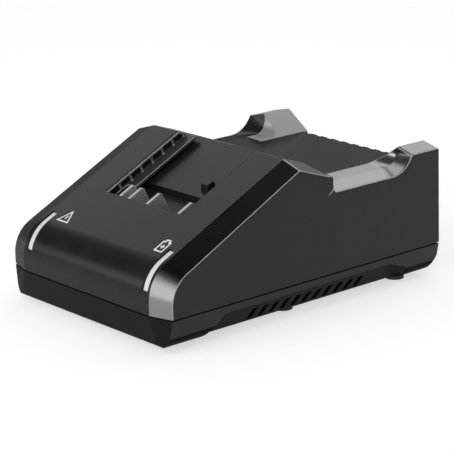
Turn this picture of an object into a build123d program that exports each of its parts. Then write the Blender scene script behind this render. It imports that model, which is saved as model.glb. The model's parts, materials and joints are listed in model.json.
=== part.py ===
from build123d import *
import math
import os

# A tabletop charger for slide-on power tool batteries. Two moulded halves meet on a parting plane.
# The battery slides down a channel in the sloping front, onto upright contact blades.
#
# Every piece is drawn with X = 0 on the centre plane, Y = 0 at the front face and Z = 0 on the
# parting plane. emit() moves it to the part's own frame, with the origin on the surface that the
# feet stand on, below the middle of the length.

# ---- Overall housing ----
LENGTH = 184.7
WIDTH = 126.0
SIDE_DRAFT = 1.2
BASE_DEPTH = 15.7
TOP_WALL = 3.0
BASE_WALL = 2.6

# ---- Side profile over the middle of the width ----
NOSE_RADIUS = 20.5
RAMP_ANGLE = 25.57
RIDGE_Y = 86.3
RIDGE_Z = 60.4
RIDGE_RADIUS = 2.0
BACK_ANGLE = 18.6
HUMP_LENGTH = 14.4
HUMP_EDGE_RADIUS = 1.0
HUMP_FOOT_RADIUS = 2.5
DECK_Z = 42.5
HORN_LENGTH = 19.3
HORN_RISE = 10.6
HORN_FOOT_RADIUS = 7.5
HORN_EDGE_RADIUS = 1.0
HUMP_BACK_Y = RIDGE_Y + HUMP_LENGTH
HORN_FRONT_Y = LENGTH - HORN_LENGTH
HORN_TOP_Z = DECK_Z + HORN_RISE

# ---- Side profile along the outer edges, where the bevelled bands end ----
BAND_WIDTH = 13.0
EDGE_SETBACK = 3.7
EDGE_NOSE_RADIUS = 16.6
EDGE_RAMP_ANGLE = 26.1
EDGE_RIDGE_DROP = 4.0
EDGE_HUMP_LENGTH = 23.3
EDGE_VALLEY_DROP = 1.2
EDGE_HORN_LENGTH = 20.0
EDGE_HORN_RISE = 8.8
EDGE_HORN_ANGLE = 60.0
EDGE_HORN_TOP_RADIUS = 0.5
BAND_X = WIDTH / 2 - BAND_WIDTH
EDGE_RIDGE_Z = RIDGE_Z - EDGE_RIDGE_DROP
EDGE_HUMP_BACK_Y = RIDGE_Y + EDGE_HUMP_LENGTH
EDGE_VALLEY_Z = DECK_Z - EDGE_VALLEY_DROP
EDGE_HORN_FRONT_Y = LENGTH - EDGE_HORN_LENGTH
EDGE_HORN_TOP_Z = EDGE_VALLEY_Z + EDGE_HORN_RISE

# ---- Deck trough between the horns ----
HORN_FOOT_WIDTH = 26.3
HORN_FACE_ANGLE = 34.4
LIP_DROP = 2.0
LIP_RUN = 3.0
NOTCH_COUNT = 9
NOTCH_PITCH = 8.1
NOTCH_WIDTH = 4.6
NOTCH_DEPTH = 4.0
DECK_HALF_WIDTH = WIDTH / 2 - HORN_FOOT_WIDTH

# ---- Trim skins ----
TRIM_THICKNESS = 1.4
HORN_TRIM_LENGTH = 34.4
HORN_TRIM_BAND_LENGTH = 32.9
TAIL_LENGTH = 4.0
TAIL_RISE = 2.4
TAIL_DROP = 0.8

# ---- Battery channel, in the plane of the ramp ----
CHANNEL_HALF_WIDTH = 30.7
CHANNEL_DEPTH = 8.0
CHANNEL_FRONT = 53.3
CHANNEL_WALL = 2.5
CHANNEL_EXIT = 14.0
WELL_HALF_WIDTH = 28.0
WELL_BACK = 32.5
WELL_DEPTH = 17.0
WELL_WALL = 2.0
TOOTH_X = 14.3
TOOTH_WIDTH = 5.3
TOOTH_HEIGHT = 4.7
TOOTH_FRONT_Y = 63.7
TOOTH_BACK_Y = 69.6
TOOTH_TOP_LENGTH = 3.9

# ---- Guide rails ----
RAIL_GAP = 0.4
RAIL_WEB = 1.1
RAIL_TOP = 0.2
RAIL_FLANGE_X = 22.9
RAIL_FLANGE_DEPTH = 4.6
RAIL_FLANGE_THICKNESS = 1.4
RAIL_FLANGE_FRONT = 40.5
RAIL_END_GAP = 0.3
WINDOW_COUNT = 7
WINDOW_PITCH = 7.8
WINDOW_WIDTH = 6.8
WINDOW_FIRST = 48.6
WINDOW_TOP = 1.0
WINDOW_FRAME = 1.0

# ---- Contacts ----
BLADE_X = (-19.0, -11.9, 2.2, 26.5)
BLADE_THICKNESS = 1.5
BLADE_LENGTH = 9.9
BLADE_TOP = 0.1
BLADE_CORNER = 1.0
BLADE_TAIL_LENGTH = 6.0
BLADE_TAIL_DROP = 4.0
CARRIER_TOP_DEPTH = 12.0
CARRIER_FLANGE = 2.0
CARRIER_LIP = 2.0
CARRIER_CLEARANCE = 0.2
SLOT_CLEARANCE = 0.1

# ---- Light guides ----
LIGHT_INSET = 3.85
LIGHT_WIDTH = 3.9
LIGHT_RECESS = 0.9
LIGHT_GAP = 0.3
LIGHT_TOP_Y = 18.0
LIGHT_BOTTOM_Z = 11.3
LIGHT_STEM_Y = 12.0
LIGHT_STEM_SIZE = 3.4
LIGHT_STEM_OVERLAP = 2.0
LIGHT_X = BAND_X - LIGHT_INSET

# ---- Lower half ----
BASE_FRONT_LEAN = 1.2
BASE_SIDE_LEAN = 3.1
BASE_FRONT_FILLET = 4.0
BASE_SIDE_FILLET = 7.5
REAR_BEVEL_START = 7.5
REAR_BEVEL_RUN = 5.0
SEAM_HEIGHT = 0.8
SEAM_DEPTH = 1.2
TONGUE_HEIGHT = 2.0
TONGUE_THICKNESS = 1.2
TONGUE_CLEARANCE = 0.2
VENT_TOP_INSET = 1.0
VENT_TOP_Z = -4.7
VENT_WIDTH = 9.0
VENT_FRONT_Y = 37.0
VENT_FRONT_SLANT = 12.0
VENT_END_LENGTH = 35.7
VENT_BACK_SLANT = 7.5
VENT_RUNOUT = 10.0
VENT_RUNOUT_RISE = 2.8
SLOT_COUNT = 11
SLOT_PITCH = 7.24
SLOT_FIRST_Y = 58.5
SLOT_WIDTH = 3.3
SLOT_TOP_Z = -7.4
SLOT_BOTTOM_Z = -14.2
VENT_TOP_X = WIDTH / 2 - VENT_TOP_INSET
VENT_BOTTOM_X = VENT_TOP_X - VENT_WIDTH
VENT_BACK_Y = LENGTH - VENT_END_LENGTH

# ---- Feet ----
FOOT_HEIGHT = 2.1
FOOT_RADIUS = 5.0
FOOT_PLACES = (
    (WIDTH / 2 - 18.0, 22.0),
    (WIDTH / 2 - 16.5, LENGTH / 2 - 3.9),
    (WIDTH / 2 - 12.6, LENGTH - 20.3),
)

# ---- Housing screws ----
SCREW_PLACES = ((WIDTH / 2 - 29.0, 15.0), (WIDTH / 2 - 29.0, LENGTH - 12.7))
SCREW_RADIUS = 1.5
SCREW_HEAD_RADIUS = 3.0
SCREW_HEAD_HEIGHT = 2.2
SCREW_LENGTH = 14.0
SCREW_SINK = 8.0
SCREW_CLEARANCE = 0.2
BOSS_RADIUS = 4.2
HEAD_CLEARANCE = 0.5

# ---- Wall-mounting keyholes in the floor ----
KEYHOLE_SPACING = 60.0
KEYHOLE_Y = 120.0
KEYHOLE_RADIUS = 4.2
KEYHOLE_NECK_RADIUS = 2.2
KEYHOLE_NECK_LENGTH = 8.0

# ---- Cord gland in the rear wall, on the parting plane ----
GLAND_X = -32.0
GLAND_BORE = 3.4
GLAND_BODY_RADIUS = 5.2
GLAND_FLANGE_RADIUS = 6.8
GLAND_FLANGE = 1.4
GLAND_CLEARANCE = 0.1

# ---- Circuit board and what stands on it ----
BOARD_THICKNESS = 1.6
BOARD_TOP_Z = -5.6
BOARD_SIDE_GAP = 12.0
BOARD_FRONT_Y = 7.0
BOARD_REAR_GAP = 19.7
BOARD_HOLE_GAP = 1.0
POST_PLACES = ((WIDTH / 2 - 23.0, 36.0), (WIDTH / 2 - 23.0, LENGTH - 34.7))
POST_RADIUS = 3.2
BOARD_SCREW_RADIUS = 1.2
BOARD_SCREW_HEAD = 2.4
BOARD_SCREW_HEAD_HEIGHT = 1.8
BOARD_SCREW_LENGTH = 5.0
LED_SIZE = 3.2
LED_HEIGHT = 1.4
TRANSFORMER_PLACE = (0.0, LENGTH - 76.7)
CORE_WIDTH = 30.0
CORE_DEPTH = 14.0
CORE_HEIGHT = 26.0
CORE_YOKE = 4.5
CORE_LEG = 8.0
WINDING_DEPTH = 24.0
CHOKE_PLACE = (-8.0, LENGTH - 43.7)
CHOKE_RADIUS = 9.5
CHOKE_BORE = 5.0
CHOKE_HEIGHT = 7.0
CHOKE_WIRE = 1.2
CHOKE_GAP = 50.0
MAINS_CAPACITOR_PLACE = (20.0, LENGTH - 37.7)
MAINS_CAPACITOR_RADIUS = 9.0
MAINS_CAPACITOR_HEIGHT = 30.0
OUTPUT_CAPACITOR_PLACES = ((-30.0, LENGTH - 92.7), (-30.0, LENGTH - 80.7))
OUTPUT_CAPACITOR_RADIUS = 5.0
OUTPUT_CAPACITOR_HEIGHT = 20.0
CAPACITOR_EDGE = 0.8
SUPPRESSOR_PLACE = (-32.0, LENGTH - 47.7)
SUPPRESSOR_SIZE = (18.0, 9.0, 15.0)
SUPPRESSOR_ROUND = 1.0
FUSE_PLACE = (-14.0, LENGTH - 25.7)
FUSE_RADIUS = 2.6
FUSE_LENGTH = 20.0
FUSE_CAP = 5.0
FUSE_LIFT = 1.0
VARISTOR_PLACE = (2.0, LENGTH - 25.7)
VARISTOR_RADIUS = 5.0
VARISTOR_THICKNESS = 4.2
VARISTOR_FLAT = 4.0
RECTIFIER_PLACE = (38.0, LENGTH - 53.7)
RECTIFIER_SIZE = (16.0, 4.0, 12.0)
RECTIFIER_CORNER = 2.5
HEAT_SINK_X = 30.0
HEAT_SINK_FRONT_Y = LENGTH - 100.7
HEAT_SINK_LENGTH = 36.0
HEAT_SINK_HEIGHT = 27.0
HEAT_SINK_PLATE = 3.0
HEAT_SINK_FIN = 9.0
HEAT_SINK_FIN_THICKNESS = 1.5
HEAT_SINK_FIN_COUNT = 6
TRANSISTOR_Y = LENGTH - 84.7
TRANSISTOR_SIZE = (4.5, 10.0, 15.0)
TRANSISTOR_TAB = 1.3
TRANSISTOR_TAB_HEIGHT = 20.0
CONTROLLER_PLACE = (0.0, LENGTH - 112.7)
CONTROLLER_SIZE = (12.0, 7.5, 2.3)
TERMINAL_PLACE = (-31.0, LENGTH - 26.2)
TERMINAL_SIZE = (12.0, 9.0, 11.0)
TERMINAL_WAYS = 2
TERMINAL_SCREW_RADIUS = 1.9
TERMINAL_SCREW_DEPTH = 2.0

BOARD_HALF_WIDTH = WIDTH / 2 - BOARD_SIDE_GAP
BOARD_BACK_Y = LENGTH - BOARD_REAR_GAP

PARTING_HEIGHT = BASE_DEPTH + FOOT_HEIGHT
CUT = 40.0


def emit(name, shape):
    """Moves a piece to the part's frame and writes it as one STEP file."""
    placed = Pos(0, -LENGTH / 2, PARTING_HEIGHT) * shape
    export_step(placed, f"parts/{name}.step")


def both(places):
    """The given places and their mirror images across the centre plane."""
    return [(side * x, y) for side in (-1, 1) for x, y in places]


def box(x0, x1, y0, y1, z0, z1):
    """A box between two corners."""
    centre = ((x0 + x1) / 2, (y0 + y1) / 2, (z0 + z1) / 2)
    return Pos(*centre) * Box(abs(x1 - x0), abs(y1 - y0), abs(z1 - z0))


def rod(x, y, z0, z1, radius):
    """An upright cylinder between two heights."""
    return Pos(x, y, (z0 + z1) / 2) * Cylinder(radius, abs(z1 - z0))


def hexagon(x, y, z0, z1, radius):
    """An upright six-sided bar between two heights."""
    corners = [(x + radius * cos(60 * i), y + radius * sin(60 * i)) for i in range(6)]
    return xy_prism(corners, z0, z1)


def yz_prism(points, x0, x1):
    """A side-view outline of (y, z) points, extruded across from x0 to x1."""
    face = Face(Polyline(*[(x0, y, z) for y, z in points], close=True))
    return extrude(face, amount=x1 - x0, dir=(1, 0, 0))


def xz_prism(points, y0, y1):
    """A front-view outline of (x, z) points, extruded back from y0 to y1."""
    face = Face(Polyline(*[(x, y0, z) for x, z in points], close=True))
    return extrude(face, amount=y1 - y0, dir=(0, 1, 0))


def xy_prism(points, z0, z1):
    """A plan outline of (x, y) points, extruded up from z0 to z1."""
    face = Face(Polyline(*[(x, y, z0) for x, y in points], close=True))
    return extrude(face, amount=z1 - z0, dir=(0, 0, 1))


def tan(angle):
    return math.tan(math.radians(angle))


def sin(angle):
    return math.sin(math.radians(angle))


def cos(angle):
    return math.cos(math.radians(angle))


# ---- The outer form ----


def centre_profile(base):
    """Side profile over the middle of the width, as clockwise (y, z, corner radius)."""
    return [
        (0, base, 0),
        (0, RIDGE_Z - tan(RAMP_ANGLE) * RIDGE_Y, NOSE_RADIUS),
        (RIDGE_Y, RIDGE_Z, RIDGE_RADIUS),
        (HUMP_BACK_Y, RIDGE_Z - tan(BACK_ANGLE) * HUMP_LENGTH, HUMP_EDGE_RADIUS),
        (HUMP_BACK_Y, DECK_Z, HUMP_FOOT_RADIUS),
        (HORN_FRONT_Y, DECK_Z, HORN_FOOT_RADIUS),
        (HORN_FRONT_Y, HORN_TOP_Z, HORN_EDGE_RADIUS),
        (LENGTH, HORN_TOP_Z, HORN_EDGE_RADIUS),
        (LENGTH, base, 0),
    ]


def edge_profile(base):
    """Side profile along the outer edge of the bevelled bands, corner for corner."""
    nose_z = EDGE_RIDGE_Z - tan(EDGE_RAMP_ANGLE) * (RIDGE_Y - EDGE_SETBACK)
    hump_z = EDGE_RIDGE_Z - tan(BACK_ANGLE) * EDGE_HUMP_LENGTH
    foot_y = EDGE_HORN_FRONT_Y - EDGE_HORN_RISE / tan(EDGE_HORN_ANGLE)
    slope_length = EDGE_HORN_RISE / sin(EDGE_HORN_ANGLE)
    sweep = slope_length / tan(EDGE_HORN_ANGLE / 2) - 2 * EDGE_HORN_TOP_RADIUS
    return [
        (EDGE_SETBACK, base, 0),
        (EDGE_SETBACK, nose_z, EDGE_NOSE_RADIUS),
        (RIDGE_Y, EDGE_RIDGE_Z, RIDGE_RADIUS),
        (EDGE_HUMP_BACK_Y, hump_z, HUMP_EDGE_RADIUS),
        (EDGE_HUMP_BACK_Y, EDGE_VALLEY_Z, HUMP_FOOT_RADIUS),
        (foot_y, EDGE_VALLEY_Z, sweep),
        (EDGE_HORN_FRONT_Y, EDGE_HORN_TOP_Z, EDGE_HORN_TOP_RADIUS),
        (LENGTH, EDGE_HORN_TOP_Z, HORN_EDGE_RADIUS),
        (LENGTH, base, 0),
    ]


def inset_outline(corners, insets):
    """Moves each side of a clockwise outline inwards by its own inset, with its corner radii."""
    smallest_radius = 0.3
    sides = []
    for i, (a, b, _) in enumerate(corners):
        next_a, next_b, _ = corners[(i + 1) % len(corners)]
        run = math.hypot(next_a - a, next_b - b)
        da = (next_a - a) / run
        db = (next_b - b) / run
        sides.append((a + insets[i] * db, b - insets[i] * da, da, db))
    moved = []
    for i, (_, _, radius) in enumerate(corners):
        a1, b1, da1, db1 = sides[i - 1]
        a2, b2, da2, db2 = sides[i]
        cross = da1 * db2 - db1 * da2
        along = ((a2 - a1) * db2 - (b2 - b1) * da2) / cross
        inset = max(insets[i - 1], insets[i])
        if radius and cross < 0:
            radius = max(radius - inset, smallest_radius)
        elif radius:
            radius = radius + inset
        moved.append((a1 + along * da1, b1 + along * db1, radius))
    return moved


def fitting_radii(corners):
    """The corner radii of an outline, each limited by the length of the sides beside it."""
    share = 0.98
    radii = [radius for _, _, radius in corners]
    bends = []
    for i, (a, b, _) in enumerate(corners):
        past_a, past_b, _ = corners[i - 1]
        next_a, next_b, _ = corners[(i + 1) % len(corners)]
        turn = math.atan2(next_b - b, next_a - a) - math.atan2(b - past_b, a - past_a)
        turn = abs(math.remainder(turn, math.tau))
        bends.append(math.tan(turn / 2))
    for i, (a, b, _) in enumerate(corners):
        j = (i + 1) % len(corners)
        room = share * math.hypot(corners[j][0] - a, corners[j][1] - b)
        used = radii[i] * bends[i] + radii[j] * bends[j]
        if used > room:
            radii[i] = radii[i] * room / used
            radii[j] = radii[j] * room / used
    return radii


def nose_radius_only(corners):
    """The outline with every corner sharp but the nose's, for surfaces that stay inside."""
    nose = 1
    return [(a, b, radius if i == nose else 0) for i, (a, b, radius) in enumerate(corners)]


def side_wire(corners, x):
    """A side-view outline with rounded corners, standing at x."""
    points = [(x, y, z) for y, z, _ in corners]
    return Wire(FilletPolyline(*points, radius=fitting_radii(corners), close=True).edges())


def front_wire(corners, y):
    """A front-view outline with rounded corners, standing at y."""
    points = [(x, y, z) for x, z, _ in corners]
    return Wire(FilletPolyline(*points, radius=fitting_radii(corners), close=True).edges())


def upper_block(inset, rear_inset, base, rounded=True):
    """The upper half's form with its surfaces moved inwards, before the trough is cut."""
    insets = [inset] * 7 + [rear_inset, 0]
    centre = inset_outline(centre_profile(base), insets)
    edge = inset_outline(edge_profile(base), insets)
    if not rounded:
        centre = nose_radius_only(centre)
        edge = nose_radius_only(edge)
    block = extrude(Face(side_wire(centre, -BAND_X)), amount=2 * BAND_X, dir=(1, 0, 0))
    for side in (-1, 1):
        wires = [side_wire(centre, side * BAND_X), side_wire(edge, side * WIDTH / 2)]
        block = block + Solid.make_loft(wires, ruled=True)
    return block


def draft_prism(inset):
    """The space between the two side walls, which lean inwards with height."""
    half = WIDTH / 2 - inset
    low = -CUT
    high = 2 * CUT
    lean = tan(SIDE_DRAFT)
    points = [
        (-half + lean * low, low),
        (half - lean * low, low),
        (half - lean * high, high),
        (-half + lean * high, high),
    ]
    return xz_prism(points, -CUT, LENGTH + CUT)


def trough(inset):
    """The open trough between the two horns, grown into the material by the inset."""
    start = (HUMP_BACK_Y + HORN_FRONT_Y) / 2
    low = DECK_Z - inset
    high = 2 * CUT
    half = DECK_HALF_WIDTH + inset * tan(HORN_FACE_ANGLE / 2)
    spread = (high - low) / tan(HORN_FACE_ANGLE)
    points = [(-half, low), (half, low), (half + spread, high), (-half - spread, high)]
    return xz_prism(points, start, LENGTH + CUT)


# ---- The battery channel ----

RAMP = Plane(
    origin=(0, RIDGE_Y, RIDGE_Z),
    x_dir=(1, 0, 0),
    z_dir=(0, -sin(RAMP_ANGLE), cos(RAMP_ANGLE)),
)


def on_ramp(x0, x1, up0, up1, depth0, depth1):
    """A box lying along the ramp: across, up the slope from the ridge, and in depth below it."""
    return RAMP * box(x0, x1, up0, up1, -depth1, -depth0)


def ramp_z(y):
    return RIDGE_Z - tan(RAMP_ANGLE) * (RIDGE_Y - y)


def channel_floor_z(y):
    return ramp_z(y) - CHANNEL_DEPTH / cos(RAMP_ANGLE)


def channel():
    half = CHANNEL_HALF_WIDTH
    return on_ramp(-half, half, -CHANNEL_FRONT, CUT, -CUT, CHANNEL_DEPTH)


def channel_jacket():
    """The channel with its own walls and floor, kept when the upper half is hollowed."""
    half = CHANNEL_HALF_WIDTH + CHANNEL_WALL
    front = -CHANNEL_FRONT - CHANNEL_WALL
    return on_ramp(-half, half, front, CHANNEL_EXIT, -CUT, CHANNEL_DEPTH + CHANNEL_WALL)


def well():
    half = WELL_HALF_WIDTH
    return on_ramp(-half, half, -CHANNEL_FRONT, -WELL_BACK, -CUT, WELL_DEPTH + CUT / 4)


def well_jacket():
    half = WELL_HALF_WIDTH + WELL_WALL
    front = -CHANNEL_FRONT - CHANNEL_WALL
    return on_ramp(-half, half, front, -WELL_BACK + WELL_WALL, -CUT, WELL_DEPTH)


def key_tooth():
    """The wedge on the channel floor that only lets the right battery pass."""
    front_z = channel_floor_z(TOOTH_FRONT_Y)
    top_back_y = TOOTH_FRONT_Y + TOOTH_TOP_LENGTH * cos(RAMP_ANGLE)
    top_back_z = front_z + TOOTH_HEIGHT + TOOTH_TOP_LENGTH * sin(RAMP_ANGLE)
    root = CHANNEL_WALL / 2
    points = [
        (TOOTH_FRONT_Y, front_z - root),
        (TOOTH_FRONT_Y, front_z + TOOTH_HEIGHT),
        (top_back_y, top_back_z),
        (TOOTH_BACK_Y, channel_floor_z(TOOTH_BACK_Y)),
        (TOOTH_BACK_Y, channel_floor_z(TOOTH_BACK_Y) - root),
    ]
    return yz_prism(points, TOOTH_X, TOOTH_X + TOOTH_WIDTH)


# ---- Light guides ----


def light_region():
    """Side-view region between the two ends of a light guide, square to the surface there."""
    reach = 12.0
    arc_y = NOSE_RADIUS
    corner_z = RIDGE_Z - tan(RAMP_ANGLE) * RIDGE_Y
    arc_z = corner_z - NOSE_RADIUS * tan((90 - RAMP_ANGLE) / 2)
    rise = LIGHT_BOTTOM_Z - arc_z
    run = math.sqrt(NOSE_RADIUS**2 - rise**2)
    low_y = arc_y - run
    inwards = (run / NOSE_RADIUS, -rise / NOSE_RADIUS)
    top_z = ramp_z(LIGHT_TOP_Y)
    down = (sin(RAMP_ANGLE), -cos(RAMP_ANGLE))
    return [
        (low_y + reach / 2 * inwards[0], LIGHT_BOTTOM_Z + reach / 2 * inwards[1]),
        (low_y - reach * inwards[0], LIGHT_BOTTOM_Z - reach * inwards[1]),
        (low_y - reach * inwards[0], top_z - reach * down[1]),
        (LIGHT_TOP_Y - reach * down[0], top_z - reach * down[1]),
        (LIGHT_TOP_Y + reach / 2 * down[0], top_z + reach / 2 * down[1]),
    ]


def light_slot(side):
    x = side * LIGHT_X
    half = LIGHT_WIDTH / 2 + LIGHT_GAP
    return yz_prism(light_region(), x - half, x + half)


def light_pipe(side):
    """A clear strip that follows the nose, with a stem down to its diode."""
    x = side * LIGHT_X
    half = LIGHT_WIDTH / 2
    strip = yz_prism(light_region(), x - half, x + half)
    strip = strip & upper_block(LIGHT_RECESS, LIGHT_RECESS, 0)
    strip = strip - upper_block(TOP_WALL, TOP_WALL, -CUT / 4, rounded=False)
    half = LIGHT_STEM_SIZE / 2
    foot_z = BOARD_TOP_Z + LED_HEIGHT
    stem = box(x - half, x + half, LIGHT_STEM_Y - half, LIGHT_STEM_Y + half, foot_z, CUT)
    stem = stem & upper_block(TOP_WALL - LIGHT_STEM_OVERLAP, TOP_WALL, -CUT / 4)
    return strip + stem


# ---- Upper half ----


def outer_form():
    lip = yz_prism(
        [
            (LENGTH - LIP_RUN, DECK_Z),
            (LENGTH + LIP_RUN, DECK_Z - 2 * LIP_DROP),
            (LENGTH + LIP_RUN, DECK_Z + LIP_DROP),
            (LENGTH - LIP_RUN, DECK_Z + LIP_DROP),
        ],
        -DECK_HALF_WIDTH,
        DECK_HALF_WIDTH,
    )
    above = box(-WIDTH, WIDTH, -CUT, LENGTH + CUT, 0, 2 * CUT)
    return (upper_block(0, 0, -CUT / 4) & draft_prism(0) & above) - trough(0) - lip


def front_trim_region(side):
    """Plan region of the bevelled band, from the front face to just short of the hump's back."""
    end = HUMP_BACK_Y - TRIM_THICKNESS
    edge_end = EDGE_HUMP_BACK_Y - TRIM_THICKNESS
    points = [
        (side * BAND_X, -CUT),
        (side * WIDTH, -CUT),
        (side * WIDTH, edge_end),
        (side * WIDTH / 2, edge_end),
        (side * BAND_X, end),
    ]
    return xy_prism(points, 0, 2 * CUT)


def right_trim_region():
    """Plan region of the right rear trim: the valley behind the hump and the whole horn."""
    points = [
        (DECK_HALF_WIDTH, HUMP_BACK_Y),
        (BAND_X, HUMP_BACK_Y),
        (WIDTH / 2, EDGE_HUMP_BACK_Y),
        (WIDTH, EDGE_HUMP_BACK_Y),
        (WIDTH, LENGTH + CUT),
        (DECK_HALF_WIDTH, LENGTH + CUT),
    ]
    return xy_prism(points, DECK_Z - 2 * TRIM_THICKNESS, 2 * CUT)


def left_trim_region():
    """Plan region of the left rear trim: the horn's inner face, its front inside the band, its top."""
    points = [
        (-DECK_HALF_WIDTH, LENGTH - HORN_TRIM_LENGTH),
        (-BAND_X, LENGTH - HORN_TRIM_BAND_LENGTH),
        (-BAND_X, HORN_FRONT_Y - TRIM_THICKNESS),
        (-WIDTH / 2, EDGE_HORN_FRONT_Y + EDGE_HORN_TOP_RADIUS / 2),
        (-WIDTH, EDGE_HORN_FRONT_Y + EDGE_HORN_TOP_RADIUS / 2),
        (-WIDTH, LENGTH + CUT),
        (-DECK_HALF_WIDTH, LENGTH + CUT),
    ]
    return xy_prism(points, DECK_Z - 2 * TRIM_THICKNESS, 2 * CUT)


def valley_tail():
    """The pointed end of the right rear trim, which curls under the hump along the side."""
    points = [
        (EDGE_HUMP_BACK_Y + TRIM_THICKNESS, EDGE_VALLEY_Z - TRIM_THICKNESS),
        (EDGE_HUMP_BACK_Y - TAIL_LENGTH, EDGE_VALLEY_Z - TAIL_DROP),
        (EDGE_HUMP_BACK_Y, EDGE_VALLEY_Z + TAIL_RISE),
        (EDGE_HUMP_BACK_Y + TRIM_THICKNESS, EDGE_VALLEY_Z + TAIL_RISE),
    ]
    return yz_prism(points, WIDTH / 2 - 2 * TRIM_THICKNESS, WIDTH)


def trim_cutters():
    """The space of each trim skin, open to the outside of the form."""
    core = upper_block(TRIM_THICKNESS, -CUT / 4, -CUT / 4, rounded=False)
    core = core - trough(TRIM_THICKNESS)
    return {
        "front_trim_left": front_trim_region(-1) - core,
        "front_trim_right": front_trim_region(1) - core,
        "rear_trim_left": left_trim_region() - core,
        "rear_trim_right": (right_trim_region() - core) + valley_tail(),
    }


def deck_notches():
    """Air notches across the rear edge of the deck."""
    cuts = []
    for i in range(NOTCH_COUNT):
        x = (i - (NOTCH_COUNT - 1) / 2) * NOTCH_PITCH
        x0 = x - NOTCH_WIDTH / 2
        x1 = x + NOTCH_WIDTH / 2
        low = DECK_Z - LIP_DROP - NOTCH_DEPTH
        cuts.append(box(x0, x1, LENGTH - LIP_RUN - 1, LENGTH + CUT, low, 2 * CUT))
    return cuts


def gland_cutters():
    """The stepped hole that the gland fills, half in each half of the housing."""
    hole = GLAND_BODY_RADIUS + GLAND_CLEARANCE
    recess = GLAND_FLANGE_RADIUS + GLAND_CLEARANCE
    through = Plane(origin=(GLAND_X, LENGTH + 1, 0), z_dir=(0, -1, 0))
    return [
        through * (Pos(0, 0, CUT / 4) * Cylinder(hole, CUT / 2)),
        through * (Pos(0, 0, (GLAND_FLANGE + 1) / 2) * Cylinder(recess, GLAND_FLANGE + 1)),
    ]


def upper_hollow():
    hollow = upper_block(TOP_WALL, TOP_WALL, -CUT / 4, rounded=False) & draft_prism(TOP_WALL)
    hollow = hollow - trough(TOP_WALL) - channel_jacket() - well_jacket()
    for x, y in both(SCREW_PLACES):
        hollow = hollow - rod(x, y, 0, 2 * CUT, BOSS_RADIUS)
    return hollow


def top_shell(form, cutters):
    shell = form - upper_hollow() - channel() - well()
    for cutter in cutters.values():
        shell = shell - cutter
    for side in (-1, 1):
        shell = shell - light_slot(side)
    for cut in deck_notches() + gland_cutters():
        shell = shell - cut
    for x, y in both(SCREW_PLACES):
        tip = SCREW_LENGTH - SCREW_SINK + SCREW_HEAD_HEIGHT
        shell = shell - rod(x, y, -1, tip, SCREW_RADIUS)
    return shell + key_tooth()


# ---- Lower half ----


def base_plan(inset):
    """Plan outline of the housing at the parting plane, clockwise."""
    half = WIDTH / 2
    corners = [
        (-BAND_X, 0, 0),
        (-half, EDGE_SETBACK, 0),
        (-half, LENGTH, 0),
        (half, LENGTH, 0),
        (half, EDGE_SETBACK, 0),
        (BAND_X, 0, 0),
    ]
    return [(x, y) for x, y, _ in inset_outline(corners, [inset] * len(corners))]


def base_side_view(inset):
    """The lower half seen from the side: a leaning, rounded front and a bevelled rear."""
    rise = CUT / BASE_DEPTH
    corners = [
        (BASE_FRONT_LEAN, -BASE_DEPTH, BASE_FRONT_FILLET),
        (-BASE_FRONT_LEAN * rise, CUT, 0),
        (LENGTH, CUT, 0),
        (LENGTH, -REAR_BEVEL_START, 0),
        (LENGTH - REAR_BEVEL_RUN, -BASE_DEPTH, 0),
    ]
    outline = inset_outline(corners, [inset, 0, inset, inset, inset])
    return extrude(Face(side_wire(outline, -WIDTH)), amount=2 * WIDTH, dir=(1, 0, 0))


def base_front_view(inset):
    """The lower half seen from the front: leaning sides with rounded lower edges."""
    rise = CUT / BASE_DEPTH
    bottom = WIDTH / 2 - BASE_SIDE_LEAN
    top = WIDTH / 2 + BASE_SIDE_LEAN * rise
    corners = [
        (-bottom, -BASE_DEPTH, BASE_SIDE_FILLET),
        (-top, CUT, 0),
        (top, CUT, 0),
        (bottom, -BASE_DEPTH, BASE_SIDE_FILLET),
    ]
    outline = inset_outline(corners, [inset, 0, inset, inset])
    wire = front_wire(outline, -CUT)
    return extrude(Face(wire), amount=LENGTH + 2 * CUT, dir=(0, 1, 0))


def base_block(inset, top):
    plan = xy_prism(base_plan(inset), -CUT, top)
    return plan & base_side_view(inset) & base_front_view(inset)


def beyond(p, q, inset):
    """A rectangle on the far side of the line from p to q, moved inwards by the inset."""
    run = math.hypot(q[0] - p[0], q[1] - p[1])
    da = (q[0] - p[0]) / run
    db = (q[1] - p[1]) / run
    start = (p[0] - CUT * da + inset * db, p[1] - CUT * db - inset * da)
    end = (q[0] + CUT * da + inset * db, q[1] + CUT * db - inset * da)
    return [
        start,
        end,
        (end[0] - CUT * db, end[1] + CUT * da),
        (start[0] - CUT * db, start[1] + CUT * da),
    ]


def vent_span(front, front_slant, back):
    """The side-view region between two slanted ends, each running out with depth."""
    drop = BASE_DEPTH + VENT_TOP_Z
    points = [
        (front - front_slant, VENT_TOP_Z + drop),
        (front + 2 * front_slant, VENT_TOP_Z - 2 * drop),
        (back + 2 * VENT_BACK_SLANT, VENT_TOP_Z - 2 * drop),
        (back - VENT_BACK_SLANT, VENT_TOP_Z + drop),
    ]
    return yz_prism(points, -2 * WIDTH, 2 * WIDTH)


def vent_bevel(side, inset, back):
    """The bevel along a lower side that carries the air slots, with slanted ends."""
    top = (VENT_TOP_X, VENT_TOP_Z)
    bottom = (VENT_BOTTOM_X, -BASE_DEPTH)
    bar = xz_prism([(side * x, z) for x, z in beyond(top, bottom, inset)], 0, LENGTH)
    return bar & vent_span(VENT_FRONT_Y - inset, -VENT_FRONT_SLANT, back + inset)


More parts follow.
